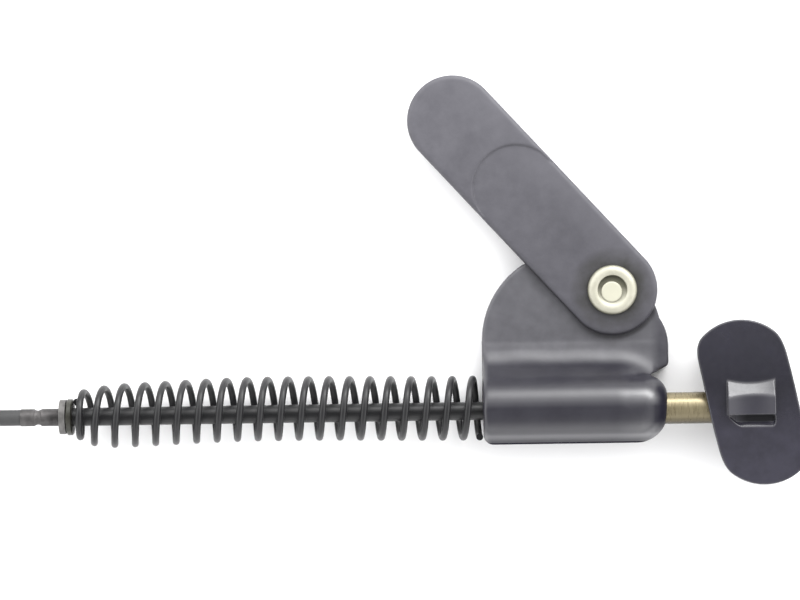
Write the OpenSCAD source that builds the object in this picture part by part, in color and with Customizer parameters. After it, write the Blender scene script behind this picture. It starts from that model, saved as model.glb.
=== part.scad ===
// Spring-return pull release: a moulded body with a barrel and a half-round
// fin, a sprung pull rod with a finger tab, a swing lever that turns a lock
// pawl inside the fin, and a jacketed cable on the far end of the rod.
// Millimetres. The part lies on its flat back on Z = 0, the barrel runs along
// X with the finger tab at +X, and the lever side faces +Z. The origin is the
// centre of the fin's round edge, on the back face.

/* [Body] */
// Length of the barrel from its rear rim to the tip of its nose
barrel_len = 25.9; // [25.5:0.1:27]
// Outside radius of the barrel
barrel_r = 4.85; // [4.8:0.01:4.9]
// Radius of the fin's round edge
fin_r = 12.9; // [12.8:0.05:13.2]
// Thickness of the fin, from the flat back to the lever side
fin_t = 3.15; // [3.1:0.01:3.2]
// Distance of the barrel's axis below the centre of the fin's round edge
axis_drop = 9.9; // [9.85:0.01:9.95]
// Round-over of the barrel's nose
nose_round = 3.8; // [3:0.1:4]

/* [Lever] */
// Distance between the centres of the lever's two round ends
lever_len = 33.3; // [28:0.1:38]
// Radius of the lever's round ends
lever_r = 6.5; // [6:0.05:6.6]
// Thickness of the lever
lever_t = 1.2; // [1.1:0.05:2.4]
// Angle of the lever above the line of the spring
lever_angle = 47.6; // [40:0.1:50]
// Depth of the step down to the blank panel on the lever's face
panel_depth = 0.25; // [0.1:0.05:0.5]

/* [Pull rod and tab] */
// Radius of the brass pull rod
rod_r = 2.25; // [2.2:0.01:2.26]
// Radius of the thin core rod inside the spring
core_r = 1.3; // [1.2:0.01:1.32]
// Length of the finger tab
tab_len = 23.4; // [20:0.1:28]
// Width of the finger tab
tab_w = 12.6; // [12:0.1:14]
// Thickness of the finger tab without its hump
tab_t = 6.2; // [6:0.1:7]
// Slant of the finger tab's long sides, off square to the rod
tab_slant = 11.6; // [0:0.1:14]
// Height of the hump on the finger tab
hump_h = 1.38; // [0.8:0.02:1.6]

/* [Spring] */
// Thickness of the spring's wire
wire_d = 1.0; // [0.8:0.05:1.1]
// Mean radius of the spring's full turns
coil_r = 4.15; // [4:0.05:4.25]
// Distance from one turn to the next
coil_pitch = 2.934; // [2.9:0.002:2.94]

/* [Cable] */
// Diameter of the jacketed cable
cable_d = 2.3; // [2.2:0.05:2.4]
// Radius of the fitting on the cable's far end
nipple_r = 2.0; // [1.8:0.1:2.2]

/* [Hidden] */
$fn = 64;

// barrel axis and its rear rim
ax_y = -axis_drop;
ax_z = barrel_r;
bx = -12.5;
// lever pivot, on the fin
pv = [5.8, 7.1];
// pocket and cover levels in the fin
cover_t = 1.0;
pocket_z1 = 2.75;
// bores
bore_r = 3.58;
piston_r = 3.5;
// stations along the barrel, from the rear rim
plug_x0 = 0.2;
plug_x1 = 3.0;
piston_x0 = 3.2;
piston_len = 6.0;
bore_x1 = 22.5;
buffer_x0 = 21.3;
tab_x = 37.9;
seat_x = -59.1;
sleeve_x0 = -66.6;
// lever stack
washer_t = 0.25;
lever_z0 = fin_t + washer_t;
lever_z1 = lever_z0 + lever_t;
// face of the panel, which the rivet's lip bears on
panel_z = lever_z1 - panel_depth;
hub_r = 2.3;
shank_r = 1.3;
// lock pawl
pawl_len = 14.2;
pawl_tip_r = 1.4;
pawl_hub_r = 2.4;
closed_angle = 47;
// cable coil
coil_c = [-97.5, 3.25];
tie_t = 0.3;
layer_z = tie_t + cable_d / 2;
// the stretch of cable from the crimp down to the coil
LEAD = [[-79.1, ax_y, 4.85], [-81, ax_y, 4.8], [-83, ax_y, 4.55], [-85, ax_y, 4.1],
        [-87, ax_y, 3.5], [-89, ax_y, 2.85], [-91, ax_y, 2.25], [-92, ax_y, 2.0]];
// the stretch from the coil's top turn to the end fitting
TAIL = [[-109.5, 3.25, 3.45], [-109.5, 6, 3.45], [-109.5, 9, 3.4], [-109.5, 12, 3.15],
        [-109.5, 15, 2.7], [-109.5, 18, 2.3], [-109.5, 21, 2.05], [-109.5, 24, 2.0]];

// ---- helpers ----------------------------------------------------------

// a shape drawn along +Z is laid along +X on the barrel's axis, from station x
module along(x) translate([bx + x, ax_y, ax_z]) rotate([0, 90, 0]) children();

// solid of revolution about the barrel's axis; the profile is [station, radius]
module turned() translate([bx, ax_y, ax_z]) rotate([0, 90, 0])
  rotate_extrude() rotate([0, 0, 90]) mirror([0, 1, 0]) children();

// section across the barrel (y to the fin, z up), pulled along X
module section(x0, x1) translate([bx + x0, 0, 0]) rotate([90, 0, 90])
  linear_extrude(x1 - x0) children();

// flat outline with two round ends
module stadium(len, r) {
  circle(r);
  translate([len, 0]) circle(r);
  translate([0, -r]) square([len, 2 * r]);
}

// rings of a tube swept along points; side is a direction square to the route
function unit(v) = v / norm(v);
function tangent(p, i) = unit(p[min(i + 1, len(p) - 1)] - p[max(i - 1, 0)]);
function tube_points(p, r, side, n) = [for (i = [0 : len(p) - 1])
  let (up = unit(cross(side, tangent(p, i))))
  for (k = [0 : n - 1]) p[i] + r * (cos(360 * k / n) * side + sin(360 * k / n) * up)];
function tube_faces(m, n) = concat(
  [[for (k = [n - 1 : -1 : 0]) k]],
  [for (i = [0 : m - 2], k = [0 : n - 1])
    [i * n + k, i * n + (k + 1) % n, (i + 1) * n + (k + 1) % n, (i + 1) * n + k]],
  [[for (k = [0 : n - 1]) (m - 1) * n + k]]);
module tube(p, r, side) polyhedron(tube_points(p, r, side, 8), tube_faces(len(p), 8), convexity = 6);

// ---- body -------------------------------------------------------------

// round edge, straight left side and a fuller shoulder on the right
module fin_outline(r) {
  circle(r);
  translate([-r, ax_y + 0.8]) square([2 * r, axis_drop - 0.8]);
  translate([7.04, -0.9]) circle(6.72);
  translate([7.04, ax_y + 0.8]) square([6.72, axis_drop - 1.7]);
}

// neck between the barrel's flank and the fin's face: straight flank, then a hollow round
neck_a = 50;
neck_r = 4.62;
neck_s = (barrel_r * cos(neck_a) + ax_z - fin_t - neck_r * (1 - cos(neck_a))) / sin(neck_a);
module neck_section() {
  out = [sin(neck_a), cos(neck_a)];
  a = [ax_y, ax_z] + barrel_r * out;
  b = a + neck_s * [cos(neck_a), -sin(neck_a)];
  c = b + neck_r * out;
  difference() {
    polygon([[ax_y, 1], [c[0] - 0.1, 1], [c[0] - 0.1, fin_t + 1], b + 0.02 * out, a - 0.04 * out, [ax_y, ax_z]]);
    translate(c) circle(neck_r);
  }
}

module pocket_outline() intersection() {
  union() {
    circle(11.7);
    translate([-11.7, ax_y + 2.3]) square([23.4, axis_drop - 2.3]);
  }
  translate(pv) union() {
    circle(2.7);
    intersection() {
      circle(14.5);
      translate([-15, -15]) square([17.7, 17.7]);
    }
  }
}

module cover_outline(r, y0) intersection() {
  circle(r);
  translate([-r, y0]) square([2 * r, 2 * r]);
}

module screw_places() for (p = [[-9.4, -0.2], [10.0, -0.2]]) translate([p[0], p[1], 0]) children();

// barrel, fin and neck in one moulding, with a pocket in the fin's back
module housing() color([0.2, 0.2, 0.21]) difference() {
  union() {
    turned() intersection() {
      union() {
        square([barrel_len - nose_round, barrel_r]);
        square([barrel_len, barrel_r - nose_round]);
        translate([barrel_len - nose_round, barrel_r - nose_round]) circle(nose_round);
      }
      square([barrel_len + 1, barrel_r + 1]);
    }
    linear_extrude(fin_t) difference() {
      fin_outline(fin_r);
      polygon([[bx + 23.4, ax_y - 1], [bx + 23.4, -4.67], [bx + 27, -2.99], [bx + 33, -2.99], [bx + 33, ax_y - 1]]);
      translate([bx - 5, ax_y - 1]) square([5, 6.5]);
    }
    section(0, 22.6) neck_section();
  }
  turned() translate([-1, 0]) square([bore_x1 + 1, bore_r]);
  turned() translate([bore_x1 - 1, 0]) square([10, rod_r + 0.06]);
  translate([0, 0, cover_t - 0.01]) linear_extrude(pocket_z1 - cover_t + 0.01) pocket_outline();
  translate([0, 0, -1]) linear_extrude(cover_t + 1) cover_outline(12.1, -2.05);
  translate([pv[0], pv[1], 0]) cylinder(h = 10, r = hub_r + 0.06);
  screw_places() cylinder(h = 2.65, r = 0.6);
}

// plate that closes the pocket, flush with the back
module rear_cover() color([0.17, 0.17, 0.18]) difference() {
  linear_extrude(cover_t) cover_outline(12.05, -2.0);
  translate([pv[0], pv[1], -1]) cylinder(h = 4, r = shank_r);
  translate([pv[0], pv[1], -0.01]) cylinder(h = 0.86, r1 = 2.36, r2 = 1.5);
  screw_places() translate([0, 0, -1]) cylinder(h = 4, r = 0.65);
  screw_places() translate([0, 0, -0.01]) cylinder(h = 0.71, r1 = 1.36, r2 = 0.65);
}

module cover_screws() color([0.35, 0.35, 0.36]) screw_places() difference() {
  union() {
    translate([0, 0, 0.05]) cylinder(h = 0.6, r1 = 1.25, r2 = 0.6);
    translate([0, 0, 0.05]) cylinder(h = 2.5, r = 0.6);
  }
  translate([-2, -0.15, -0.2]) cube([4, 0.3, 0.5]);
}

// pressed into the rear of the barrel; guides the core rod and stops the piston
module rear_plug() color([0.55, 0.54, 0.52]) along(plug_x0) difference() {
  cylinder(h = plug_x1 - plug_x0, r = bore_r);
  translate([0, 0, -1]) cylinder(h = 9, r = core_r + 0.06);
}

// rubber ring that cushions the end of the pull
module nose_buffer() color([0.12, 0.12, 0.12]) along(buffer_x0) difference() {
  cylinder(h = bore_x1 - buffer_x0, r = bore_r - 0.03);
  translate([0, 0, -1]) cylinder(h = 9, r = rod_r + 0.2);
}

// ---- lever and lock -----------------------------------------------------

// rivet: sunk head at the back, wide open head on the lever, with the end of its core inside
module pivot_rivet() color([0.83, 0.76, 0.52]) translate([pv[0], pv[1], 0]) {
  rotate_extrude() difference() {
    union() {
      polygon([[0, 0.05], [2.25, 0.05], [1.3, 1.0], [0, 1.0]]);
      translate([0, 0.5]) square([shank_r, panel_z]);
      translate([0, panel_z + 0.05]) square([3.25, 0.45]);
      translate([3.25, panel_z + 0.275]) circle(0.225);
      translate([2.6, panel_z + 0.5]) circle(0.5);
    }
    translate([0, panel_z + 0.2]) square([2.15, 2]);
  }
  // the core was set a little off the middle
  translate([-0.25, -0.25, panel_z + 0.1]) cylinder(h = 0.6, r = 1.6);
}

module lever_washer() color([0.6, 0.58, 0.5]) translate([pv[0], pv[1], fin_t]) difference() {
  cylinder(h = washer_t - 0.05, r = 4.8);
  translate([0, 0, -1]) cylinder(h = 3, r = hub_r + 0.1);
}

module lever() color([0.25, 0.25, 0.26]) translate([pv[0], pv[1], 0])
  rotate([0, 0, 180 - lever_angle]) difference() {
    union() {
      translate([0, 0, lever_z0]) linear_extrude(lever_t) stadium(lever_len, lever_r);
      translate([0, 0, pocket_z1 + 0.1]) cylinder(h = lever_z0 - pocket_z1, r = hub_r);
    }
    translate([0, 0, -1]) cylinder(h = 20, r = shank_r + 0.06);
    translate([0, 0, panel_z]) linear_extrude(1) {
      translate([20, 0]) circle(6.2);
      translate([-10, -8]) square([30, 16]);
    }
    rotate([0, 0, 200]) translate([1.84, 0, 0]) cylinder(h = lever_z0 + 0.6, r = 0.33);
  }

// turns with the lever; its toe bears on the flank of the piston when closed
module lock_pawl() color([0.62, 0.62, 0.6]) translate([pv[0], pv[1], cover_t + 0.1])
  rotate([0, 0, -90 - closed_angle]) difference() {
    linear_extrude(pocket_z1 - cover_t - 0.15) {
      circle(pawl_hub_r);
      translate([pawl_len - pawl_tip_r, 0]) circle(pawl_tip_r);
      polygon([[0, -2.1], [pawl_len - pawl_tip_r, -pawl_tip_r],
               [pawl_len - pawl_tip_r, pawl_tip_r], [0, 2.1]]);
    }
    translate([0, 0, -1]) cylinder(h = 9, r = shank_r + 0.06);
    rotate([0, 0, 200 + 180 - lever_angle + 90 + closed_angle]) translate([1.84, 0, -1]) cylinder(h = 9, r = 0.33);
  }

module drive_pin() color([0.7, 0.7, 0.7]) translate([pv[0], pv[1], cover_t + 0.2])
  rotate([0, 0, 200 + 180 - lever_angle]) translate([1.84, 0, 0])
    cylinder(h = lever_z0 + 0.5 - cover_t - 0.2, r = 0.33);

// ---- sprung rod -----------------------------------------------------------

// one turn closes up at each end of the spring
turns = 21;
seg = 16;
first_x = seat_x + wire_d / 2;
last_x = -0.55;
free_x = -57.6;
function spring_x(t) = t < 1 ? first_x + (free_x - first_x) * t
  : t < turns - 1 ? free_x + coil_pitch * (t - 1)
  : free_x + coil_pitch * (turns - 2) + (last_x - free_x - coil_pitch * (turns - 2)) * (t - turns + 1);
function spring_r(t) = t < 1 ? 2.15 + 1.35 * t * t * (3 - 2 * t)
  : t < 3 ? 3.5 + (coil_r - 3.5) * sin(45 * (t - 1)) : coil_r;
function spring_points() = [for (i = [0 : turns * seg])
  let (t = i / seg, a = 90 + 360 * t, r = spring_r(t))
  for (k = [0 : 7]) let (rr = r + wire_d / 2 * cos(45 * k))
    [bx + spring_x(t) + wire_d / 2 * sin(45 * k), ax_y + rr * sin(a), ax_z + rr * cos(a)]];
module return_spring() color([0.13, 0.13, 0.14])
  polyhedron(spring_points(), tube_faces(turns * seg + 1, 8), convexity = 20);

// round brass rod, bored at its rear end for the core rod
module pull_rod() color([0.8, 0.7, 0.42]) difference() {
  union() {
    along(piston_x0 + 0.2) cylinder(h = tab_x - piston_x0 - 0.2, r = rod_r);
    translate([bx + tab_x, ax_y, ax_z]) sphere(r = rod_r);
  }
  along(piston_x0 - 1) cylinder(h = 7.2, r = core_r);
  translate([bx + tab_x, ax_y, 0]) cylinder(h = 20, r = 0.83);
  translate([bx + piston_x0 + 3, ax_y, 0]) cylinder(h = 20, r = 0.5);
}

module piston() color([0.75, 0.68, 0.45]) difference() {
  along(piston_x0) cylinder(h = piston_len, r = piston_r);
  along(piston_x0 - 1) cylinder(h = piston_len + 2, r = rod_r);
  translate([bx + piston_x0 + 3, ax_y, 0]) cylinder(h = 20, r = 0.5);
}

module piston_pin() color([0.6, 0.6, 0.6])
  translate([bx + piston_x0 + 3, ax_y, ax_z - 3.3]) cylinder(h = 6.6, r = 0.5);

module core_rod() color([0.2, 0.2, 0.2]) difference() {
  turned() {
    translate([seat_x - 2.05, 0]) square([piston_x0 + 6.0 - seat_x + 2.05, core_r]);
    translate([seat_x - 4.8, 0]) square([4.8, 0.7]);
  }
  turned() translate([seat_x - 1.9, 1.0]) square([1.0, 2]);
  translate([bx + piston_x0 + 3, ax_y, 0]) cylinder(h = 20, r = 0.5);
}

// collar under the spring's small end turn, with its outer edges broken
module spring_seat() color([0.28, 0.28, 0.25]) turned()
  polygon([[seat_x - 0.85, core_r], [seat_x - 0.85, 2.45], [seat_x - 0.7, 2.6],
           [seat_x - 0.15, 2.6], [seat_x, 2.45], [seat_x, core_r]]);

// open retaining ring in the rod's groove
module seat_clip() color([0.55, 0.55, 0.53]) along(seat_x - 1.85) difference() {
  cylinder(h = 0.9, r = 2.5);
  translate([0, 0, -1]) cylinder(h = 3, r = 1.0);
  translate([-0.7, -4, -1]) cube([1.4, 4, 3]);
  for (s = [-1, 1]) translate([s * 1.15, 0.45, -1]) cylinder(h = 3, r = 0.42);
}

// sleeve crimped on the rod's end and on the cable
module crimp_sleeve() color([0.36, 0.34, 0.3]) turned() difference() {
  translate([sleeve_x0, 0]) square([seat_x - 2.1 - sleeve_x0, 1.25]);
  translate([seat_x - 4.8, -1]) square([9, 1.7]);
  translate([-64.15, 1.75]) circle(0.72);
}

// ---- finger tab -------------------------------------------------------------

module tab_frame() translate([bx + tab_x, ax_y, 0]) children();

// outline of the tab about its own middle: slanted sides and blunt round ends
tab_end_r = 7.5;
tab_end_shift = 1.54;
tab_end_y = tab_len / 2 - tab_end_r;
module tab_outline() intersection() {
  rotate([0, 0, tab_slant]) square([tab_w, 2 * tab_len], center = true);
  union() {
    for (s = [-1, 1]) translate([-s * tab_end_shift, s * tab_end_y]) circle(tab_end_r);
    rotate([0, 0, atan2(tab_end_shift, tab_end_y)])
      square([2 * tab_end_r, 2 * norm([tab_end_shift, tab_end_y])], center = true);
  }
}

// blunt slanted tab. The hump over the rod's end slopes to the fin's side and drops
// into a slot on the other; a flared mouth lets the tab rock on the rod's end
hump_lean = 28.5;
module hump_section() polygon([[4.15, -0.6], [4.15, 0], [4.15 - hump_h / tan(hump_lean), hump_h],
  [-0.95, hump_h], [-0.95, -0.6]]);
module finger_tab() color([0.12, 0.12, 0.13]) tab_frame() difference() {
  union() {
    translate([-0.15, 0.8, ax_z - tab_t / 2]) linear_extrude(tab_t) tab_outline();
    translate([-3.8, 0, ax_z + tab_t / 2]) rotate([90, 0, 90]) linear_extrude(6.9) hump_section();
  }
  translate([0, 0, ax_z + tab_t / 2 - 0.48]) linear_extrude(5)
    polygon([[-3.45, -0.95], [2.95, -0.95], [2.95, -2.32], [-2.43, -2.32], [-3.45, -1.3]]);
  translate([0, 0, ax_z - rod_r - 0.12]) linear_extrude(2 * rod_r + 0.24) {
    circle(rod_r + 0.3);
    polygon([[0, -2.6], [-9, -5.2], [-9, 5.2], [0, 2.6]]);
  }
  cylinder(h = ax_z + tab_t / 2 + 0.1, r = 0.8);
}

// driven in from the back, so that it does not show on the hump
module tab_pin() color([0.15, 0.15, 0.15]) translate([bx + tab_x, ax_y, ax_z - tab_t / 2 + 0.1])
  cylinder(h = tab_t - 0.1, r = 0.8);

// ---- cable ------------------------------------------------------------------

module cable_lead() color([0.3, 0.3, 0.3]) tube(LEAD, cable_d / 2, [0, 1, 0]);

// outer shape of the wound turns
module cable_coil() color([0.3, 0.3, 0.3]) translate([coil_c[0], coil_c[1], 0]) rotate_extrude()
  translate([9.7, tie_t]) square([4.6, 4.3]);

module coil_tie() color([0.15, 0.15, 0.16]) translate([coil_c[0], coil_c[1], 0])
  rotate([0, 0, 37]) rotate_extrude(angle = 16) difference() {
    translate([9.4, 0]) square([5.2, 4.9]);
    translate([9.7, tie_t]) square([4.6, 4.3]);
  }

module cable_tail() color([0.3, 0.3, 0.3]) tube(TAIL, cable_d / 2, [1, 0, 0]);

// turned end fitting on the cable, with a crimped neck
module cable_nipple() color([0.8, 0.7, 0.42]) translate([-109.5, 24, nipple_r]) rotate([-90, 0, 0]) {
  cylinder(h = 2.5, r = 1.5);
  translate([0, 0, 2]) cylinder(h = 5, r = nipple_r);
}

housing();
rear_cover();
cover_screws();
rear_plug();
nose_buffer();
pivot_rivet();
lever_washer();
return_spring();
pull_rod();
piston();
piston_pin();
core_rod();
spring_seat();
seat_clip();
crimp_sleeve();
lever();
lock_pawl();
drive_pin();
finger_tab();
tab_pin();
cable_lead();
cable_coil();
coil_tie();
cable_tail();
cable_nipple();
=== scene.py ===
import math

import bpy
import numpy as np
from mathutils import Matrix, Vector


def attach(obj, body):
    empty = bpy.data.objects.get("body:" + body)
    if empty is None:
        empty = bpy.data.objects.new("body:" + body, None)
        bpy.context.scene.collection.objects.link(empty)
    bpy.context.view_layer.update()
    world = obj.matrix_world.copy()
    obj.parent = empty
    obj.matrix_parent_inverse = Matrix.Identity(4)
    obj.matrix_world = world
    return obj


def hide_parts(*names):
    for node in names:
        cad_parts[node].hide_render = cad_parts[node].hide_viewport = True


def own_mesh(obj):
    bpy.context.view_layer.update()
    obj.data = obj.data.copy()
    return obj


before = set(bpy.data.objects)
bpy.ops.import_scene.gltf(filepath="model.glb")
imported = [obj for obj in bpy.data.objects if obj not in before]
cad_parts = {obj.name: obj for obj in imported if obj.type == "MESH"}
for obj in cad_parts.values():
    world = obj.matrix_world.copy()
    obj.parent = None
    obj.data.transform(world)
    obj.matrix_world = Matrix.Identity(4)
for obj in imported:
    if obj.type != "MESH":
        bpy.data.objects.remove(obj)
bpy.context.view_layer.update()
scene = bpy.context.scene
MM = 0.001

# Sizes in millimetres, in the part's own frame: X along the barrel to the tab,
# Y from the barrel to the fin, Z up from the flat back.
BX, AY, AZ = -12.5, -9.9, 4.85
FIN_R, FIN_T = 12.9, 3.15
PV = (5.8, 7.1)
LEVER_DIR = math.radians(132.4)
LEVER_LEN, LEVER_R = 33.3, 6.5
LEVER_Z0, LEVER_Z1, PANEL_Z = 3.4, 4.6, 4.35
TAB_X, TAB_SLANT = 25.4, math.radians(11.6)

# ---------------------------------------------------------------- camera

cam_data = bpy.data.cameras.new("camera")
camera = bpy.data.objects.new("camera", cam_data)
scene.collection.objects.link(camera)
scene.camera = camera
cam_at = Vector((-15.39, 5.98, 397.85)) * MM
cam_to = Vector((-24.53, 6.12, 4.85)) * MM
back = (cam_at - cam_to).normalized()
up = Vector((0.01606, 0.99987, 0.0))
side = up.cross(back).normalized()
up = back.cross(side)
camera.matrix_world = Matrix((
    (side.x, up.x, back.x, cam_at.x),
    (side.y, up.y, back.y, cam_at.y),
    (side.z, up.z, back.z, cam_at.z),
    (0, 0, 0, 1)))
cam_data.sensor_width = 36.0
cam_data.lens = 123.8
cam_data.clip_start = 0.01
cam_data.clip_end = 20.0

# ---------------------------------------------------------------- materials


class Nodes:
    """Short hand for building one material."""

    def __init__(self, name):
        self.mat = bpy.data.materials.new(name)
        self.mat.use_nodes = True
        self.tree = self.mat.node_tree
        self.bsdf = self.tree.nodes["Principled BSDF"]
        self.coord = self.tree.nodes.new("ShaderNodeTexCoord")

    def new(self, kind, **values):
        n = self.tree.nodes.new(kind)
        for k, v in values.items():
            if hasattr(n, k):
                setattr(n, k, v)
            else:
                n.inputs[k].default_value = v
        return n

    def link(self, a, b):
        self.tree.links.new(a, b)

    def set(self, **values):
        for k, v in values.items():
            self.bsdf.inputs[k.replace("_", " ")].default_value = v

    def stretched(self, scale):
        m = self.new("ShaderNodeMapping")
        m.inputs["Scale"].default_value = scale
        self.link(self.coord.outputs["Object"], m.inputs["Vector"])
        return m.outputs["Vector"]

    def noise(self, scale, detail=4.0, rough=0.55, stretch=(1, 1, 1)):
        n = self.new("ShaderNodeTexNoise")
        n.inputs["Scale"].default_value = scale
        n.inputs["Detail"].default_value = detail
        n.inputs["Roughness"].default_value = rough
        self.link(self.stretched(stretch), n.inputs["Vector"])
        return n.outputs["Fac"]

    def mottle(self, clouds, spots):
        return self.maths("ADD", self.maths("MULTIPLY", self.noise(clouds, 5, 0.6), 0.5),
                          self.maths("MULTIPLY", self.noise(spots, 3, 0.6), 0.5))

    def ramp(self, fac, stops):
        r = self.new("ShaderNodeValToRGB")
        el = r.color_ramp.elements
        while len(el) < len(stops):
            el.new(0.5)
        for e, (p, c) in zip(el, stops):
            e.position = p
            e.color = (*c, 1) if len(c) == 3 else (c[0], c[0], c[0], 1)
        self.link(fac, r.inputs["Fac"])
        return r.outputs["Color"]

    def spread(self, fac, lo, hi, a, b):
        m = self.new("ShaderNodeMapRange")
        m.inputs["From Min"].default_value = lo
        m.inputs["From Max"].default_value = hi
        m.inputs["To Min"].default_value = a
        m.inputs["To Max"].default_value = b
        self.link(fac, m.inputs["Value"])
        return m.outputs["Result"]

    def mix(self, fac, a, b):
        m = self.new("ShaderNodeMix", data_type="RGBA")
        for value, socket in ((fac, m.inputs[0]), (a, m.inputs[6]), (b, m.inputs[7])):
            if hasattr(value, "links"):
                self.link(value, socket)
            else:
                socket.default_value = value if socket.type != "RGBA" else (*value, 1)
        return m.outputs[2]

    def maths(self, op, a, b=0.0):
        m = self.new("ShaderNodeMath", operation=op)
        for value, socket in ((a, m.inputs[0]), (b, m.inputs[1])):
            if hasattr(value, "links"):
                self.link(value, socket)
            else:
                socket.default_value = value
        return m.outputs[0]

    def axis(self, k):
        s = self.new("ShaderNodeSeparateXYZ")
        self.link(self.coord.outputs["Object"], s.inputs[0])
        return s.outputs[k]

    def edge(self, lo, hi):
        """0 on flats, rising to 1 on outer edges, from the surface's own shape."""
        g = self.new("ShaderNodeNewGeometry")
        return self.spread(g.outputs["Pointiness"], lo, hi, 0.0, 1.0)

    def bump(self, height, strength, distance):
        b = self.new("ShaderNodeBump")
        b.inputs["Strength"].default_value = strength
        b.inputs["Distance"].default_value = distance
        self.link(height, b.inputs["Height"])
        self.link(b.outputs["Normal"], self.bsdf.inputs["Normal"])

    def colour(self, c):
        self.link(c, self.bsdf.inputs["Base Color"])

    def rough(self, r):
        self.link(r, self.bsdf.inputs["Roughness"])


def moulded(name, dark, light, rough, grain=900, bump=0.25, spec=0.5, blotch=90, edge=None):
    m = Nodes(name)
    cloud = m.noise(blotch, 5, 0.6)
    fine = m.noise(grain, 3, 0.6)
    c = m.ramp(cloud, [(0.3, dark), (0.7, light)])
    if edge:
        c = m.mix(m.edge(0.51, 0.56), c, edge)
    m.colour(c)
    m.rough(m.spread(fine, 0.3, 0.7, rough - 0.05, rough + 0.05))
    m.bump(fine, bump, 0.00003)
    m.set(Specular_IOR_Level=spec)
    return m.mat


def metal(name, dark, light, rough, turned=None, bump=0.15, metallic=1.0):
    m = Nodes(name)
    stretch = turned or (1, 1, 1)
    lines = m.noise(600, 3, 0.6, stretch)
    stain = m.noise(150, 4, 0.6)
    m.colour(m.ramp(m.maths("ADD", m.maths("MULTIPLY", lines, 0.5), m.maths("MULTIPLY", stain, 0.5)),
                    [(0.35, dark), (0.65, light)]))
    m.rough(m.spread(lines, 0.3, 0.7, rough - 0.06, rough + 0.06))
    m.set(Metallic=metallic)
    m.bump(lines, bump, 0.00002)
    return m.mat


def housing_material():
    m = Nodes("satin_black")
    cloud = m.mottle(110, 430)
    fine = m.noise(1300, 3, 0.6)
    across = m.axis(1)
    # the black of the barrel gives way to the paler fin at the neck's foot, which turns round the nose
    past = m.maths("MAXIMUM", m.maths("SUBTRACT", m.axis(0), (BX + 18.6) * MM), 0.0)
    aside = m.maths("SUBTRACT", across, AY * MM)
    off = m.maths("SQRT", m.maths("ADD", m.maths("MULTIPLY", past, past), m.maths("MULTIPLY", aside, aside)))
    face = m.maths("MULTIPLY", m.spread(off, 0.0062, 0.0083, 0.0, 1.0), m.spread(across, -0.0062, -0.0050, 0.0, 1.0))
    barrel = m.ramp(cloud, [(0.38, (0.0098, 0.0091, 0.015)), (0.62, (0.0150, 0.0143, 0.0208))])
    # painted reflection: a paler band along the barrel's low flank, standing for the floor's reflection, and a matt
    # film below it
    painted_flank_reflection = m.ramp(m.spread(across, -0.0148, -0.0112, 0.0, 1.0),
                  [(0.0, (0.0,)), (0.18, (0.06,)), (0.31, (0.75,)), (0.39, (1.0,)), (0.47, (0.5,)), (0.56, (0.28,)), (1.0, (0.0,))])
    barrel = m.mix(painted_flank_reflection, barrel, (0.086, 0.085, 0.093))
    fin = m.ramp(cloud, [(0.38, (0.0495, 0.0485, 0.0565)), (0.62, (0.068, 0.067, 0.0765))])
    fin = m.mix(m.spread(m.axis(0), -0.010, 0.013, 0.0, 0.2), fin, (0.03, 0.03, 0.034))
    # painted shadow: a dark line on the fin just outside the lever's round end, standing for the lever's shadow there
    px, py = m.maths("SUBTRACT", m.axis(0), PV[0] * MM), m.maths("SUBTRACT", across, PV[1] * MM)
    reach = m.maths("SQRT", m.maths("ADD", m.maths("MULTIPLY", px, px), m.maths("MULTIPLY", py, py)))
    ring = m.maths("MULTIPLY", m.spread(reach, 0.0060, 0.0064, 0.0, 0.8), m.spread(reach, 0.00685, 0.0073, 1.0, 0.0))
    ring = m.maths("MULTIPLY", ring, m.spread(px, -0.0055, -0.0025, 0.25, 1.0))
    ring = m.maths("MULTIPLY", ring, m.spread(m.axis(2), (FIN_T - 0.3) * MM, (FIN_T - 0.1) * MM, 0.0, 1.0))
    ring = m.maths("MULTIPLY", ring, m.spread(m.noise(480, 3, 0.6), 0.3, 0.6, 0.7, 1.0))
    fin = m.mix(ring, fin, (0.009, 0.0085, 0.012))
    m.colour(m.mix(face, barrel, fin))
    # a polished shoulder and a matt tip on the nose
    length = m.spread(m.axis(0), 0.006, 0.0134, 0.0, 1.0)
    polish = m.ramp(length, [(0.0, (0.0,)), (0.5, (1.0,)), (0.7, (1.0,)), (0.9, (0.0,)), (1.0, (0.0,))])
    polish = m.maths("MULTIPLY", polish, m.spread(across, -0.0076, -0.0062, 1.0, 0.0))
    grain = m.maths("ADD", m.spread(fine, 0.3, 0.7, -0.004, 0.004), m.spread(polish, 0, 1, 0.0, -0.050))
    m.rough(m.maths("ADD", grain, m.spread(face, 0, 1, 0.335, 0.48)))
    m.bump(fine, 0.07, 0.00003)
    gloss = m.maths("ADD", m.ramp(length, [(0.0, (0.63,)), (0.7, (0.63,)), (0.88, (0.1,)), (1.0, (0.1,))]), m.spread(polish, 0, 1, 0.0, 0.37))
    # the matt tip reaches further back on the middle of the nose
    middle = m.maths("MULTIPLY", m.spread(across, -0.0094, -0.0082, 1.0, 0.0), m.spread(across, -0.0128, -0.0116, 0.0, 1.0))
    matt = m.maths("MULTIPLY", middle, m.ramp(length, [(0.0, (0.0,)), (0.48, (0.0,)), (0.72, (0.85,)), (1.0, (0.85,))]))
    gloss = m.maths("MULTIPLY", gloss, m.spread(matt, 0, 1, 1.0, 0.0))
    m.link(m.maths("MULTIPLY", m.spread(across, -0.0145, -0.0136, 0.0, 1.0), gloss), m.bsdf.inputs["Specular IOR Level"])
    return m.mat


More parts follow.
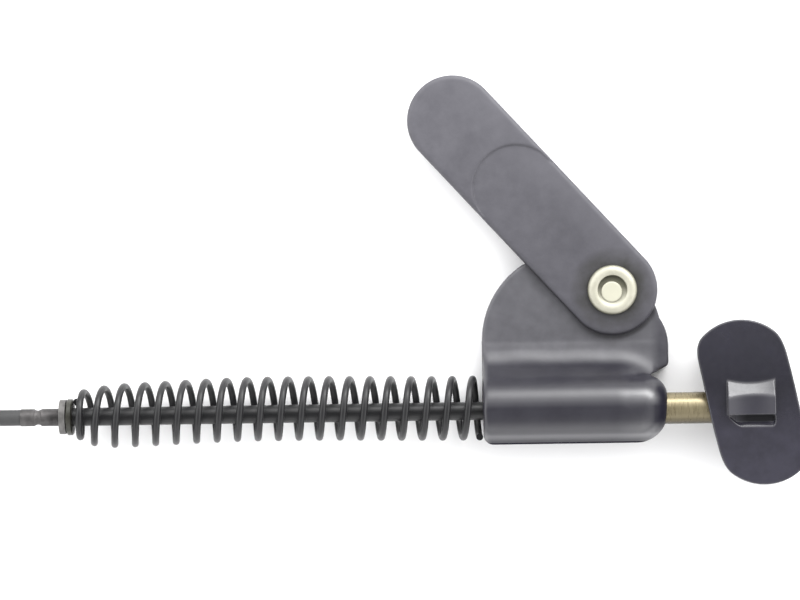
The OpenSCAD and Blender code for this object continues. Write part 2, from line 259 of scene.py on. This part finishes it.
def lever_material():
    m = Nodes("lever_black")
    cloud = m.mottle(160, 520)
    fine = m.noise(1500, 3, 0.6)
    # paler towards the free end
    along = m.maths("ADD", m.maths("MULTIPLY", m.axis(0), math.cos(LEVER_DIR)),
                    m.maths("MULTIPLY", m.axis(1), math.sin(LEVER_DIR)))
    tone_ramp = m.spread(along, 0.003, 0.040, 0.0, 1.0)
    low = m.ramp(cloud, [(0.37, (0.0355, 0.0343, 0.0425)), (0.63, (0.050, 0.0485, 0.0585))])
    high = m.ramp(cloud, [(0.37, (0.064, 0.0625, 0.074)), (0.63, (0.084, 0.082, 0.095))])
    face = m.mix(tone_ramp, low, high)
    # painted highlight: paler along the upper edge, where the light falls on its rounding
    across = m.maths("ADD", m.maths("MULTIPLY", m.axis(0), math.sin(LEVER_DIR)),
                     m.maths("MULTIPLY", m.axis(1), -math.cos(LEVER_DIR)))
    middle = (PV[0] * math.sin(LEVER_DIR) - PV[1] * math.cos(LEVER_DIR)) * MM
    face = m.mix(m.spread(across, middle + 0.0005, middle + 0.0055, 0.0, 0.27), face, (0.11, 0.108, 0.123))
    # painted shade: darker and brownish round the rivet, where its head meets the lever
    px, py = m.maths("SUBTRACT", m.axis(0), PV[0] * MM), m.maths("SUBTRACT", m.axis(1), PV[1] * MM)
    reach = m.maths("SQRT", m.maths("ADD", m.maths("MULTIPLY", px, px), m.maths("MULTIPLY", py, py)))
    stain = m.maths("MULTIPLY", m.spread(reach, 0.0038, 0.0062, 0.95, 0.0), m.spread(m.noise(420, 4, 0.6), 0.3, 0.62, 0.35, 1.0))
    face = m.mix(stain, face, (0.012, 0.0115, 0.008))
    # painted shade: darker on the low edge near the pivot, standing for the shadow line on the fin
    start = (PV[0] * math.cos(LEVER_DIR) + PV[1] * math.sin(LEVER_DIR)) * MM
    painted_edge_shade = m.maths("MULTIPLY", m.spread(m.axis(2), (PANEL_Z - 0.55) * MM, (PANEL_Z - 0.06) * MM, 0.95, 0.0),
                  m.maths("MULTIPLY", m.spread(across, middle - 0.003, middle + 0.001, 1.0, 0.0),
                          m.spread(along, start + 0.011, start + 0.018, 1.0, 0.0)))
    m.colour(m.mix(painted_edge_shade, face, (0.006, 0.006, 0.008)))
    m.rough(m.spread(fine, 0.3, 0.7, 0.5, 0.6))
    m.bump(fine, 0.25, 0.00003)
    m.set(Specular_IOR_Level=0.5)
    return m.mat


def tab_material():
    m = Nodes("tab_black")
    cloud = m.mottle(120, 480)
    fine = m.noise(1300, 3, 0.6)
    # painted shade: darker towards the tab's top and paler towards its low end, standing for the shading of a curved
    # face
    tone_ramp = m.ramp(m.spread(m.axis(1), -0.021, 0.003, 0.0, 1.0),
                  [(0.0, (0.027, 0.0258, 0.037)), (0.33, (0.0235, 0.0222, 0.033)), (0.60, (0.0085, 0.008, 0.0135)), (0.95, (0.0185, 0.0177, 0.026))])
    c = m.mix(m.spread(cloud, 0.37, 0.63, 0.0, 0.4), tone_ramp, (0.009, 0.0088, 0.012))
    # painted highlight: paler on the hump's top, standing for its sheen; painted shade: dark in the slot at its foot
    top = AZ + 3.1
    c = m.mix(m.spread(m.axis(2), (top + 0.7) * MM, (top + 1.15) * MM, 0.0, 0.8), c, (0.036, 0.035, 0.043))
    deep = m.spread(m.axis(2), (top - 0.47) * MM, (top - 0.37) * MM, 1.0, 0.0)
    near = m.maths("MULTIPLY", m.spread(m.axis(1), -0.0124, -0.0119, 0.0, 1.0), m.spread(m.axis(1), -0.0106, -0.0101, 1.0, 0.0))
    aside = m.maths("ABSOLUTE", m.maths("SUBTRACT", m.axis(0), (TAB_X - 0.35) * MM))
    painted_slot_shade = m.maths("MULTIPLY", m.maths("MULTIPLY", deep, near), m.spread(aside, 0.0036, 0.0042, 1.0, 0.0))
    m.colour(m.mix(painted_slot_shade, c, (0.008, 0.008, 0.010)))
    m.rough(m.maths("ADD", m.spread(fine, 0.3, 0.7, 0.21, 0.27), m.spread(painted_slot_shade, 0, 1, 0.0, 0.4)))
    m.bump(fine, 0.12, 0.00003)
    m.link(m.spread(painted_slot_shade, 0, 1, 0.65, 0.2), m.bsdf.inputs["Specular IOR Level"])
    return m.mat


def rivet_material():
    m = Nodes("pale_brass")
    stain = m.noise(500, 4, 0.6)
    brass_and_glint = m.ramp(stain, [(0.3, (0.355, 0.344, 0.276)), (0.7, (0.44, 0.43, 0.357))])
    # painted highlight: the core's end is paler than the rim, standing for the lit floor of the hollow
    cx, cy = m.maths("SUBTRACT", m.axis(0), (PV[0] - 0.12) * MM), m.maths("SUBTRACT", m.axis(1), (PV[1] - 0.28) * MM)
    reach = m.maths("SQRT", m.maths("ADD", m.maths("MULTIPLY", cx, cx), m.maths("MULTIPLY", cy, cy)))
    brass_and_glint = m.mix(m.spread(reach, 0.0013, 0.0015, 1.0, 0.0), brass_and_glint, (0.49, 0.48, 0.385))
    # painted shade: darker in the hollow and under the rim
    low = m.spread(m.axis(2), (PANEL_Z + 0.38) * MM, (PANEL_Z + 0.78) * MM, 0.95, 0.0)
    m.colour(m.mix(low, brass_and_glint, (0.06, 0.058, 0.036)))
    m.rough(m.spread(stain, 0.3, 0.7, 0.44, 0.54))
    m.set(Metallic=0.35)
    return m.mat


def rod_material():
    m = Nodes("turned_brass")
    lines = m.noise(600, 3, 0.6, (6, 1, 1))
    stain = m.noise(150, 4, 0.6)
    c = m.ramp(m.maths("ADD", m.maths("MULTIPLY", lines, 0.5), m.maths("MULTIPLY", stain, 0.5)),
               [(0.35, (0.17, 0.14, 0.08)), (0.65, (0.25, 0.215, 0.135))])
    # painted shade: darker on the side away from the fin, where the floor below is in shade
    m.colour(m.mix(m.spread(m.axis(1), -0.0120, -0.0102, 0.9, 0.0), c, (0.040, 0.032, 0.018)))
    m.rough(m.spread(lines, 0.3, 0.7, 0.24, 0.36))
    m.set(Metallic=0.6)
    m.bump(lines, 0.15, 0.00002)
    return m.mat


M = {
    "housing": housing_material(),
    "lever": lever_material(),
    "tab": tab_material(),
    "cover": moulded("cover_black", (0.045, 0.045, 0.05), (0.06, 0.06, 0.066), 0.5),
    "wire": moulded("blackened_wire", (0.005, 0.005, 0.006), (0.011, 0.011, 0.012), 0.36, grain=1600, blotch=300, spec=0.4),
    "rivet": rivet_material(),
    "rod": rod_material(),
    "brass": metal("brass", (0.17, 0.14, 0.08), (0.25, 0.215, 0.135), 0.3, turned=(6, 1, 1), metallic=0.6),
    "steel": metal("steel", (0.45, 0.45, 0.45), (0.65, 0.65, 0.64), 0.35),
    "dull": metal("dull_steel", (0.095, 0.092, 0.09), (0.21, 0.205, 0.20), 0.5, bump=0.3),
    "collar": metal("dark_collar", (0.020, 0.020, 0.015), (0.050, 0.049, 0.040), 0.34, metallic=0.3),
    "crimp": metal("crimped_steel", (0.035, 0.033, 0.033), (0.11, 0.105, 0.105), 0.5, bump=0.3, metallic=0.7),
    "rubber": moulded("buffer_rubber", (0.015, 0.015, 0.015), (0.025, 0.025, 0.025), 0.7),
    "jacket": moulded("cable_jacket", (0.036, 0.036, 0.037), (0.050, 0.050, 0.051), 0.6, grain=2200, blotch=260, spec=0.35),
    "tie": moulded("tie_black", (0.02, 0.02, 0.021), (0.03, 0.03, 0.032), 0.5),
}


def paint(obj, mat):
    obj.data.materials.clear()
    obj.data.materials.append(mat)


# ---------------------------------------------------------------- cable


def smooth_curve(points, r, name, res=4):
    data = bpy.data.curves.new(name, "CURVE")
    data.dimensions = "3D"
    data.bevel_depth = r * MM
    data.bevel_resolution = 5
    data.resolution_u = res
    data.use_fill_caps = True
    s = data.splines.new("BEZIER")
    s.bezier_points.add(len(points) - 1)
    pts = [Vector(p) * MM for p in points]
    for i, (b, p) in enumerate(zip(s.bezier_points, pts)):
        b.co = p
        before, after = pts[max(i - 1, 0)], pts[min(i + 1, len(pts) - 1)]
        t = (after - before).normalized()
        b.handle_left_type = b.handle_right_type = "FREE"
        b.handle_left = p - t * ((p - before).length / 3)
        b.handle_right = p + t * ((after - p).length / 3)
    obj = bpy.data.objects.new(name, data)
    scene.collection.objects.link(obj)
    return obj


LEAD = [(-79.1, AY, 4.85), (-81, AY, 4.8), (-83, AY, 4.55), (-85, AY, 4.1),
        (-87, AY, 3.5), (-89, AY, 2.85), (-91, AY, 2.25), (-92.5, AY, 1.85)]
TAIL = [(-109.5, 6, 3.45), (-109.5, 9, 3.4), (-109.5, 12, 3.15), (-109.5, 15, 2.7),
        (-109.5, 18, 2.3), (-109.5, 21, 2.05), (-109.5, 24.6, 2.0)]


def ease(t):
    t = min(max(t, 0.0), 1.0)
    return t * t * (3 - 2 * t)


def wound():
    """Clockwise from above: a wide turn, a narrow turn inside it, and a turn on top."""
    out = []
    steps = 16
    for i in range(int(3.25 * steps) + 1):
        t = i / steps
        a = math.radians(-90 - 360 * t)
        r = 13.15 - 2.3 * ease((t - 0.75) / 0.5) + 1.15 * ease((t - 1.8) / 0.6)
        z = 1.45 + 2.0 * ease((t - 1.75) / 0.5)
        out.append((-97.5 + r * math.cos(a), 3.25 + r * math.sin(a), z))
    return out


route = LEAD + wound() + TAIL
cable = smooth_curve(route, 1.15, "cable")
paint(cable, M["jacket"])
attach(cable, "plunger")
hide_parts("cable_lead", "cable_coil", "cable_tail")

# ---------------------------------------------------------------- solid shapes from distances


def smin(a, b, k):
    h = np.clip(0.5 + 0.5 * (b - a) / k, 0, 1)
    return b * (1 - h) + a * h - k * h * (1 - h)


def smax(a, b, k):
    return -smin(-a, -b, k)


def corner(p, q, r):
    """Distance to an edge rounded by r, from the signed distances p and q to its two faces."""
    p, q = p + r, q + r
    return np.minimum(np.maximum(p, q), 0) + np.hypot(np.maximum(p, 0), np.maximum(q, 0)) - r


def slab(d2, z, z0, z1, r_top, r_low):
    z_mid = (z0 + r_low + z1 - r_top) / 2
    return np.where(z > z_mid, corner(d2, z - z1, r_top), corner(d2, z0 - z, r_low))


def segment(u, v, length):
    return np.hypot(u - np.clip(u, 0, length), v)


def meshed(f, lo, hi, h, name):
    """Closed mesh of f = 0 on a grid of step h, with every vertex brought onto the surface."""
    axes = [np.arange(a - 2 * h, b + 3 * h, h) for a, b in zip(lo, hi)]
    n = [len(a) for a in axes]
    grid = np.empty(n)
    yy, zz = np.meshgrid(axes[1], axes[2], indexing="ij")
    for i, x in enumerate(axes[0]):
        grid[i] = f(np.full_like(yy, x), yy, zz)
    inside = grid < 0
    corners = [(i, j, k) for i in (0, 1) for j in (0, 1) for k in (0, 1)]

    def at(a, c):
        return a[c[0]:n[0] - 1 + c[0], c[1]:n[1] - 1 + c[1], c[2]:n[2] - 1 + c[2]]

    count = sum(at(inside, c).astype(np.int8) for c in corners)
    cells = np.argwhere((count > 0) & (count < 8))
    number = np.full([k - 1 for k in n], -1, np.int64)
    number[tuple(cells.T)] = np.arange(len(cells))
    total, hits = np.zeros((len(cells), 3)), np.zeros(len(cells))
    for a in corners:
        for ax in range(3):
            if a[ax] == 0:
                b = tuple(a[m] + (m == ax) for m in range(3))
                va, vb = grid[tuple((cells + a).T)], grid[tuple((cells + b).T)]
                cut = (va < 0) != (vb < 0)
                t = np.where(cut, va / np.where(cut, va - vb, 1), 0)
                p = cells + np.array(a, float)
                p[:, ax] += t
                total += p * cut[:, None]
                hits += cut
    verts = total / hits[:, None] * h + np.array([a[0] for a in axes])
    quads = []
    for ax in range(3):
        o = [m for m in range(3) if m != ax]
        lo_s, hi_s = [slice(None)] * 3, [slice(None)] * 3
        lo_s[ax], hi_s[ax] = slice(0, -1), slice(1, None)
        first, second = inside[tuple(lo_s)], inside[tuple(hi_s)]
        e = np.argwhere(first != second)
        e = e[(e[:, o[0]] > 0) & (e[:, o[1]] > 0)]
        flip = second[tuple(e.T)]
        ring = []
        for d0, d1 in ((-1, -1), (0, -1), (0, 0), (-1, 0)):
            c = e.copy()
            c[:, o[0]] += d0
            c[:, o[1]] += d1
            ring.append(number[tuple(c.T)])
        q = np.stack(ring, 1)
        if ax == 1:
            flip = ~flip
        q[flip] = q[flip][:, ::-1]
        quads.append(q)
    quads = np.concatenate(quads)
    eps = 0.01
    for _ in range(5):
        x, y, z = verts.T
        d = f(x, y, z)
        g = np.stack([(f(x + eps, y, z) - f(x - eps, y, z)),
                      (f(x, y + eps, z) - f(x, y - eps, z)),
                      (f(x, y, z + eps) - f(x, y, z - eps))], 1) / (2 * eps)
        size = np.maximum((g * g).sum(1), 0.2)
        verts = verts - np.clip(d / size, -h / 2, h / 2)[:, None] * g
    return made(verts, quads.tolist(), name)


def made(verts, faces, name, sharp=None):
    mesh = bpy.data.meshes.new(name)
    mesh.from_pydata((np.asarray(verts, float) * MM).tolist(), [], faces)
    mesh.validate()
    mesh.update()
    mesh.shade_smooth()
    if sharp:
        mesh.set_sharp_from_angle(angle=math.radians(sharp))
    obj = bpy.data.objects.new(name, mesh)
    scene.collection.objects.link(obj)
    return obj


def lathed(profile, name, place, x_axis=False, n=72, sharp=35):
    """Closed turned piece. The profile is a loop of (along, radius) pairs; radius 0 is on the axis."""
    verts, rings = [], []
    for a, r in profile:
        if r < 1e-6:
            rings.append([len(verts)])
            verts.append((a, 0, 0))
        else:
            rings.append(list(range(len(verts), len(verts) + n)))
            for k in range(n):
                t = 2 * math.pi * k / n
                verts.append((a, r * math.cos(t), r * math.sin(t)))
    faces = []
    m = len(rings)
    closed = len(rings[0]) > 1
    for i in range(m if closed else m - 1):
        p, q = rings[i], rings[(i + 1) % m]
        for k in range(n):
            l = (k + 1) % n
            if len(p) == 1 and len(q) == 1:
                continue
            if len(p) == 1:
                faces.append((p[0], q[k], q[l]))
            elif len(q) == 1:
                faces.append((p[k], q[0], p[l]))
            else:
                faces.append((p[k], q[k], q[l], p[l]))
    v = np.array(verts, float)
    if not x_axis:
        v = v[:, [1, 2, 0]]
    obj = made(v + np.array(place), faces, name, sharp)
    return tidy(obj)


def tidy(obj):
    """Faces all point outwards."""
    import bmesh

    b = bmesh.new()
    b.from_mesh(obj.data)
    bmesh.ops.recalc_face_normals(b, faces=b.faces)
    b.to_mesh(obj.data)
    b.free()
    return obj


# ---------------------------------------------------------------- body

NECK_A, NECK_R = math.radians(50), 4.62
NECK_S = (4.85 * math.cos(NECK_A) + AZ - FIN_T - NECK_R * (1 - math.cos(NECK_A))) / math.sin(NECK_A)
neck_out = np.array([math.sin(NECK_A), math.cos(NECK_A)])
neck_p = 4.85 * neck_out
neck_q = neck_p + NECK_S * np.array([math.cos(NECK_A), -math.sin(NECK_A)])
neck_c = neck_q + NECK_R * neck_out
# height of the neck over the barrel's axis, at a distance to the side of it
side_d, side_h = [], []
for a in np.linspace(0, NECK_A, 26):
    side_d.append(4.85 * math.sin(a))
    side_h.append(4.85 * math.cos(a))
for a in np.linspace(NECK_A, 0, 26):
    side_d.append(neck_c[0] - NECK_R * math.sin(a))
    side_h.append(neck_c[1] - NECK_R * math.cos(a))
side_d.append(30.0)
side_h.append(side_h[-1])
side_d, side_h = np.array(side_d), np.array(side_h)


def body_shape(x, y, z):
    s = x - BX
    rho = np.hypot(y - AY, z - AZ)
    front = s > 12.95
    nose = 3.9 - 0.6 * (y - AY) / np.maximum(rho, 1.0)
    rear = 0.6 + 0.8 * np.clip((AY - y) / np.maximum(rho, 1.0), 0, 1) ** 2
    barrel = np.where(front, corner(s - 25.9, rho - 4.85, nose), corner(-s - 0.4, rho - 4.85, rear))
    outline = np.minimum(np.hypot(x, y) - FIN_R, np.maximum(np.maximum(np.abs(x) - FIN_R, y), AY - y))
    shoulder = np.minimum(np.hypot(x - 7.04, y + 0.9) - 6.72,
                          np.maximum(np.maximum(7.04 - x, x - 13.76), np.maximum(y + 0.9, AY - y)))
    outline = np.minimum(outline, shoulder)
    outline = smax(outline, -np.maximum(10.9 - x, 0.9 * (y + 4.0) + 0.42 * (13.4 - x)), 0.5)
    fin = slab(outline, z, 0, FIN_T, 0.45, 0.2)
    # the neck follows the barrel and turns round its nose
    off = np.hypot(np.maximum(s - 18.6, 0), y - AY)
    wave = 0.10 * np.sin(0.55 * s + 0.6) * np.sin(0.23 * s + 1.3) - 0.16 * np.exp(-((s - 5.2) / 3.4) ** 2)
    wave = wave * np.clip((off - 3.9) / 2.2, 0, 1)
    top = np.interp(off + wave, side_d, side_h) + AZ
    slope = np.gradient(side_h, side_d)
    lean = np.interp(off, side_d, slope)
    neck = (z - top) / np.sqrt(1 + lean * lean)
    neck = smax(neck, np.maximum(np.maximum(-0.3 - s, s - 24.6), np.maximum(AY - y, y + 0.2)), 0.8)
    neck = np.maximum(neck, np.maximum(1.0 - z, outline))
    solid = np.maximum(smin(smin(barrel, fin, 0.3), neck, 0.35), -z)
    bore = np.maximum(rho - 3.58, s - 22.5)
    mouth = np.maximum(rho - 2.31, 20 - s)
    pocket_edge = np.minimum(np.hypot(x, y) - 11.7, np.maximum(np.maximum(np.abs(x) - 11.7, y), -7.6 - y))
    px, py = x - PV[0], y - PV[1]
    sweep = np.minimum(np.hypot(px, py) - 2.7,
                       np.maximum(np.hypot(px, py) - 14.5, np.maximum(px - 2.7, py - 2.7)))
    pocket = np.maximum(np.maximum(pocket_edge, sweep), np.maximum(0.9 - z, z - 2.75))
    recess = np.maximum(np.maximum(np.hypot(x, y) - 12.1, -2.05 - y), z - 1.0)
    hub = np.maximum(np.hypot(px, py) - 2.36, 0.9 - z)
    hollow = np.minimum(np.minimum(np.minimum(bore, mouth), np.minimum(pocket, recess)), hub)
    return np.maximum(solid, -hollow)


STEP = 0.2
body = meshed(body_shape, (-13, -15, 0), (14, 13, 9.8), STEP, "moulded_body")
paint(body, M["housing"])
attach(body, "body")
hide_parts("housing")

# ---------------------------------------------------------------- lever


def lever_local(x, y):
    px, py = x - PV[0], y - PV[1]
    c, s = math.cos(LEVER_DIR), math.sin(LEVER_DIR)
    return px * c + py * s, -px * s + py * c


def lever_shape(x, y, z):
    u, v = lever_local(x, y)
    r_top = 0.7
    plate = slab(segment(u, v, LEVER_LEN) - LEVER_R, z, LEVER_Z0, LEVER_Z1, r_top, 0.2)
    # the face steps down to the panel along a round front edge
    low = slab(segment(u, v, LEVER_LEN) - LEVER_R, z, LEVER_Z0, PANEL_Z, r_top, 0.2)
    panel = np.minimum(np.hypot(u - 20, v) - 6.2, np.maximum(u - 20, np.abs(v) - 6.2 - 0.12 * (20 - u)))
    d = np.minimum(low, smax(plate, -panel, 0.12))
    hub = np.maximum(np.hypot(u, v) - 2.3, np.maximum(2.85 - z, z - 4.0))
    d = np.minimum(d, hub)
    return np.maximum(d, 1.36 - np.hypot(u, v))


lever = meshed(lever_shape, (-23.4, 0.4, 2.8), (12.6, 38.6, 6.3), STEP, "swing_lever")
paint(lever, M["lever"])
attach(lever, "swing_lever")
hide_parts("lever")

# ---------------------------------------------------------------- rivet


def arc(cx, cy, r, a0, a1, n=8):
    return [(cx + r * math.cos(math.radians(a0 + (a1 - a0) * i / n)),
             cy + r * math.sin(math.radians(a0 + (a1 - a0) * i / n))) for i in range(n + 1)]


def rivet_shape(x, y, z):
    px, py = x - PV[0], y - PV[1]
    r, h = np.hypot(px, py), z - PANEL_Z
    sunk = np.maximum(np.maximum(0.05 - z, z - 1.0), (r - 2.25 + (z - 0.05)) * 0.707)
    shank = np.maximum(r - 1.3, np.maximum(0.3 - z, h - 0.3))
    flange = np.where(h > 0.3, corner(r - 3.47, h - 0.55, 0.3), corner(r - 3.47, 0.05 - h, 0.15))
    lip = np.hypot(r - 2.66, h - 0.22) - 0.68
    d = np.minimum(np.minimum(sunk, shank), smin(flange, lip, 0.55))
    # hollow, deeper on the side away from the barrel
    d = smax(d, -np.maximum(r - 2.08, 0.45 - 0.17 * py - h), 0.1)
    core = corner(np.hypot(px + 0.12, py + 0.28) - 1.5, h - 0.76, 0.2)
    return np.minimum(d, np.maximum(core, 0.1 - h))


rivet = meshed(rivet_shape, (PV[0] - 3.6, PV[1] - 3.6, 0), (PV[0] + 3.6, PV[1] + 3.6, PANEL_Z + 1.1), STEP / 2, "tube_rivet")
paint(rivet, M["rivet"])
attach(rivet, "body")
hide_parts("pivot_rivet")

# ---------------------------------------------------------------- spring

TURNS, SEG, AROUND = 21, 48, 12
# the last turn stops short, low against the barrel's rear
LAST = 0.5
SPIRES = int((TURNS - 1 + LAST) * SEG)


def spring_x(t):
    if t < 1:
        return -58.6 + 1.0 * t
    if t < TURNS - 1:
        return -57.6 + 2.934 * (t - 1)
    end = -57.6 + 2.934 * (TURNS - 2)
    return end + (-0.95 - end) * (t - TURNS + 1) / LAST


def spring_r(t):
    if t < 1:
        return 2.15 + 1.35 * t * t * (3 - 2 * t)
    if t < 3:
        return 3.5 + 0.65 * math.sin(math.radians(45 * (t - 1)))
    return 4.15


def spring_y(t):
    s = (spring_x(t) + 58.6) / 58.05
    return 0.75 * ease(s / 0.45) - 0.32 * ease((s - 0.5) / 0.5)


sv, sf = [], []
for i in range(SPIRES + 1):
    t = i / SEG
    a = math.radians(90 + 360 * t)
    for k in range(AROUND):
        b = 2 * math.pi * k / AROUND
        rr = spring_r(t) + 0.5 * math.cos(b)
        sv.append((BX + spring_x(t) + 0.5 * math.sin(b), AY + spring_y(t) + rr * math.sin(a), AZ + rr * math.cos(a)))
for i in range(SPIRES):
    for k in range(AROUND):
        l = (k + 1) % AROUND
        sf.append((i * AROUND + k, i * AROUND + l, (i + 1) * AROUND + l, (i + 1) * AROUND + k))
sf.append(tuple(range(AROUND)))
sf.append(tuple(range(SPIRES * AROUND, (SPIRES + 1) * AROUND)))
spring = tidy(made(sv, sf, "coil_spring", 60))
paint(spring, M["wire"])
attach(spring, "body")
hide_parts("return_spring")
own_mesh(spring)

# ---------------------------------------------------------------- rods and small fittings


def on_axis(profile, name, n=64, sharp=35):
    return lathed(profile, name, (BX, AY, AZ), x_axis=True, n=n, sharp=sharp)


rod_profile = [(3.4, 1.3), (3.4, 2.1), (3.55, 2.25), (37.9, 2.25)]
rod_profile += [(37.9 + p, r) for p, r in ((2.25 * math.sin(math.radians(a)), 2.25 * math.cos(math.radians(a))) for a in range(10, 90, 10))]
rod_profile += [(40.15, 0.0), (9.4, 0.0), (9.4, 1.3)]
rod = on_axis(rod_profile, "brass_rod")
paint(rod, M["rod"])
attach(rod, "plunger")
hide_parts("pull_rod")

for node, mat, slot in (("rear_cover", "cover", "satin_black"), ("cover_screws", "steel", "steel"), ("rear_plug", "steel", "steel"),
                        ("nose_buffer", "rubber", "buffer_rubber"), ("lever_washer", "steel", "steel"), ("piston", "brass", "brass"),
                        ("piston_pin", "steel", "steel"), ("core_rod", "wire", "blackened_wire"), ("spring_seat", "collar", "dull_steel"),
                        ("seat_clip", "dull", "dull_steel"), ("crimp_sleeve", "crimp", "dull_steel"), ("lock_pawl", "steel", "steel"),
                        ("drive_pin", "steel", "steel"), ("tab_pin", "wire", "blackened_wire"), ("coil_tie", "tie", "tie_black"),
                        ("cable_nipple", "brass", "brass")):
    paint(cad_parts[node], M[mat])

# ---------------------------------------------------------------- finger tab


def tab_shape(x, y, z):
    px, py = x - TAB_X, y - AY
    v = py - 0.8
    # slanted sides, and blunt ends about two centres
    sides = np.abs(px * math.cos(TAB_SLANT) + v * math.sin(TAB_SLANT) + 0.15) - 6.3
    ex, ey = -1.54, 4.2
    t = np.clip(((px + 0.15) * ex + v * ey) / (ex * ex + ey * ey), -1, 1)
    ends = np.hypot(px + 0.15 - t * ex, v - t * ey) - 7.5
    top = AZ + 3.1
    # the sides draw in towards the back
    outline = smax(sides, ends, 1.3) + 0.125 * np.clip(top - 0.5 - z, 0, 6)
    plate = slab(outline, z, AZ - 3.1, top, 0.22, 0.8)
    # hump, square to the rod: an even slope towards the fin's side, a flat top, both a little hollow
    u = px + 0.35
    dip = 1 - np.clip(np.abs(u) / 3.4, 0, 1) ** 2
    lean = math.radians(28.5)
    slope = (v - 3.24) * math.sin(lean) + (z - top + 0.26 * dip - 0.012 * u) * math.cos(lean)
    crown = z - top - 1.38 + 0.42 * dip
    hump = smax(slope, crown, 0.18)
    hump = smax(hump, np.maximum(np.maximum(u - 3.25, -u - 3.42), -v - 1.75), 0.06)
    hump = np.maximum(hump, AZ + 1 - z)
    d = smin(plate, hump, 0.15)
    # slot along the hump's foot, with a sloping far lip
    lip_lean = math.radians(31)
    lip = -(v + 3.5) * math.sin(lip_lean) - (z - top) * math.cos(lip_lean)
    slot = np.maximum(np.minimum(lip, -v - 2.75), v + 1.75)
    slot = smax(slot, np.maximum(np.maximum(u - 3.3, -u - 3.1), -0.707 * (u + v + 5.2)), 0.4)
    slot = smax(slot, top - 0.48 + 0.22 * np.clip(-u / 3.3, 0, 1) ** 2 - z, 0.1)
    d = smax(d, -slot, 0.1)
    mouth = np.maximum(np.abs(z - AZ) - 2.37, np.minimum(np.hypot(px, py) - 2.55,
                       np.maximum(np.maximum(px, -9 - px), (np.abs(py) - 2.6 + px * 0.2889))))
    pin = np.maximum(np.hypot(px, py) - 0.8, z - 8.05)
    return np.maximum(d, -np.minimum(mouth, pin))


tab = meshed(tab_shape, (17, -24, 1.6), (34, 4.5, 9.6), STEP * 0.65, "pull_tab")
paint(tab, M["tab"])
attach(tab, "tab")
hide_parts("finger_tab")

# ---------------------------------------------------------------- floor and light

floor_mesh = bpy.data.meshes.new("floor")
floor_mesh.from_pydata([(-3, -3, 0), (3, -3, 0), (3, 3, 0), (-3, 3, 0)], [], [(0, 1, 2, 3)])
floor = bpy.data.objects.new("floor", floor_mesh)
floor.location.z = -0.00003
scene.collection.objects.link(floor)
fm = Nodes("floor_white")
fm.set(Base_Color=(0.93, 0.93, 0.935, 1), Roughness=0.9, Specular_IOR_Level=0.1)
floor.data.materials.append(fm.mat)


def area(name, place, target, size_x, size_y, power):
    d = bpy.data.lights.new(name, "AREA")
    d.shape = "RECTANGLE"
    d.size, d.size_y = size_x, size_y
    d.energy = power
    o = bpy.data.objects.new(name, d)
    scene.collection.objects.link(o)
    o.location = place
    o.rotation_mode = "QUATERNION"
    o.rotation_quaternion = (Vector(target) - Vector(place)).to_track_quat("-Z", "Y")
    return o


area("back_panel", (0.213, 0.456, 0.327), (0, 0, 0), 0.46, 0.2, 2.25)

# a white tent all round, darkest overhead and brightest at the back
world = bpy.data.worlds.new("tent")
scene.world = world
world.use_nodes = True
wt = world.node_tree
w_coord = wt.nodes.new("ShaderNodeTexCoord")
w_axes = wt.nodes.new("ShaderNodeSeparateXYZ")
wt.links.new(w_coord.outputs["Generated"], w_axes.inputs[0])


def wall(stops):
    r = wt.nodes.new("ShaderNodeValToRGB")
    el = r.color_ramp.elements
    while len(el) < len(stops):
        el.new(0.5)
    for e, (deg, level) in zip(el, reversed(stops)):
        e.position = max(math.cos(math.radians(deg)), 0.0)
        e.color = (level / 5, level / 5, level / 5, 1)
    wt.links.new(w_axes.outputs[2], r.inputs["Fac"])
    return r.outputs["Color"]


rear_wall = wall([(0, 0.35), (12, 0.7), (25, 2.0), (40, 3.7), (52, 4.6), (66, 4.6), (78, 2.4), (90, 0.4)])
near_wall = wall([(0, 0.35), (20, 0.35), (32, 0.6), (46, 1.3), (60, 2.6), (76, 2.8), (85, 1.4), (90, 0.5)])
w_turn = wt.nodes.new("ShaderNodeMapRange")
for key, value in (("From Min", -0.7), ("From Max", 0.7)):
    w_turn.inputs[key].default_value = value
wt.links.new(w_axes.outputs[1], w_turn.inputs["Value"])
w_mix = wt.nodes.new("ShaderNodeMix")
w_mix.data_type = "RGBA"
wt.links.new(w_turn.outputs["Result"], w_mix.inputs[0])
wt.links.new(near_wall, w_mix.inputs[6])
wt.links.new(rear_wall, w_mix.inputs[7])
wt.links.new(w_mix.outputs[2], wt.nodes["Background"].inputs["Color"])
wt.nodes["Background"].inputs["Strength"].default_value = 4.3
scene.view_settings.view_transform = "Standard"
scene.view_settings.look = "None"
scene.view_settings.exposure = 0.0
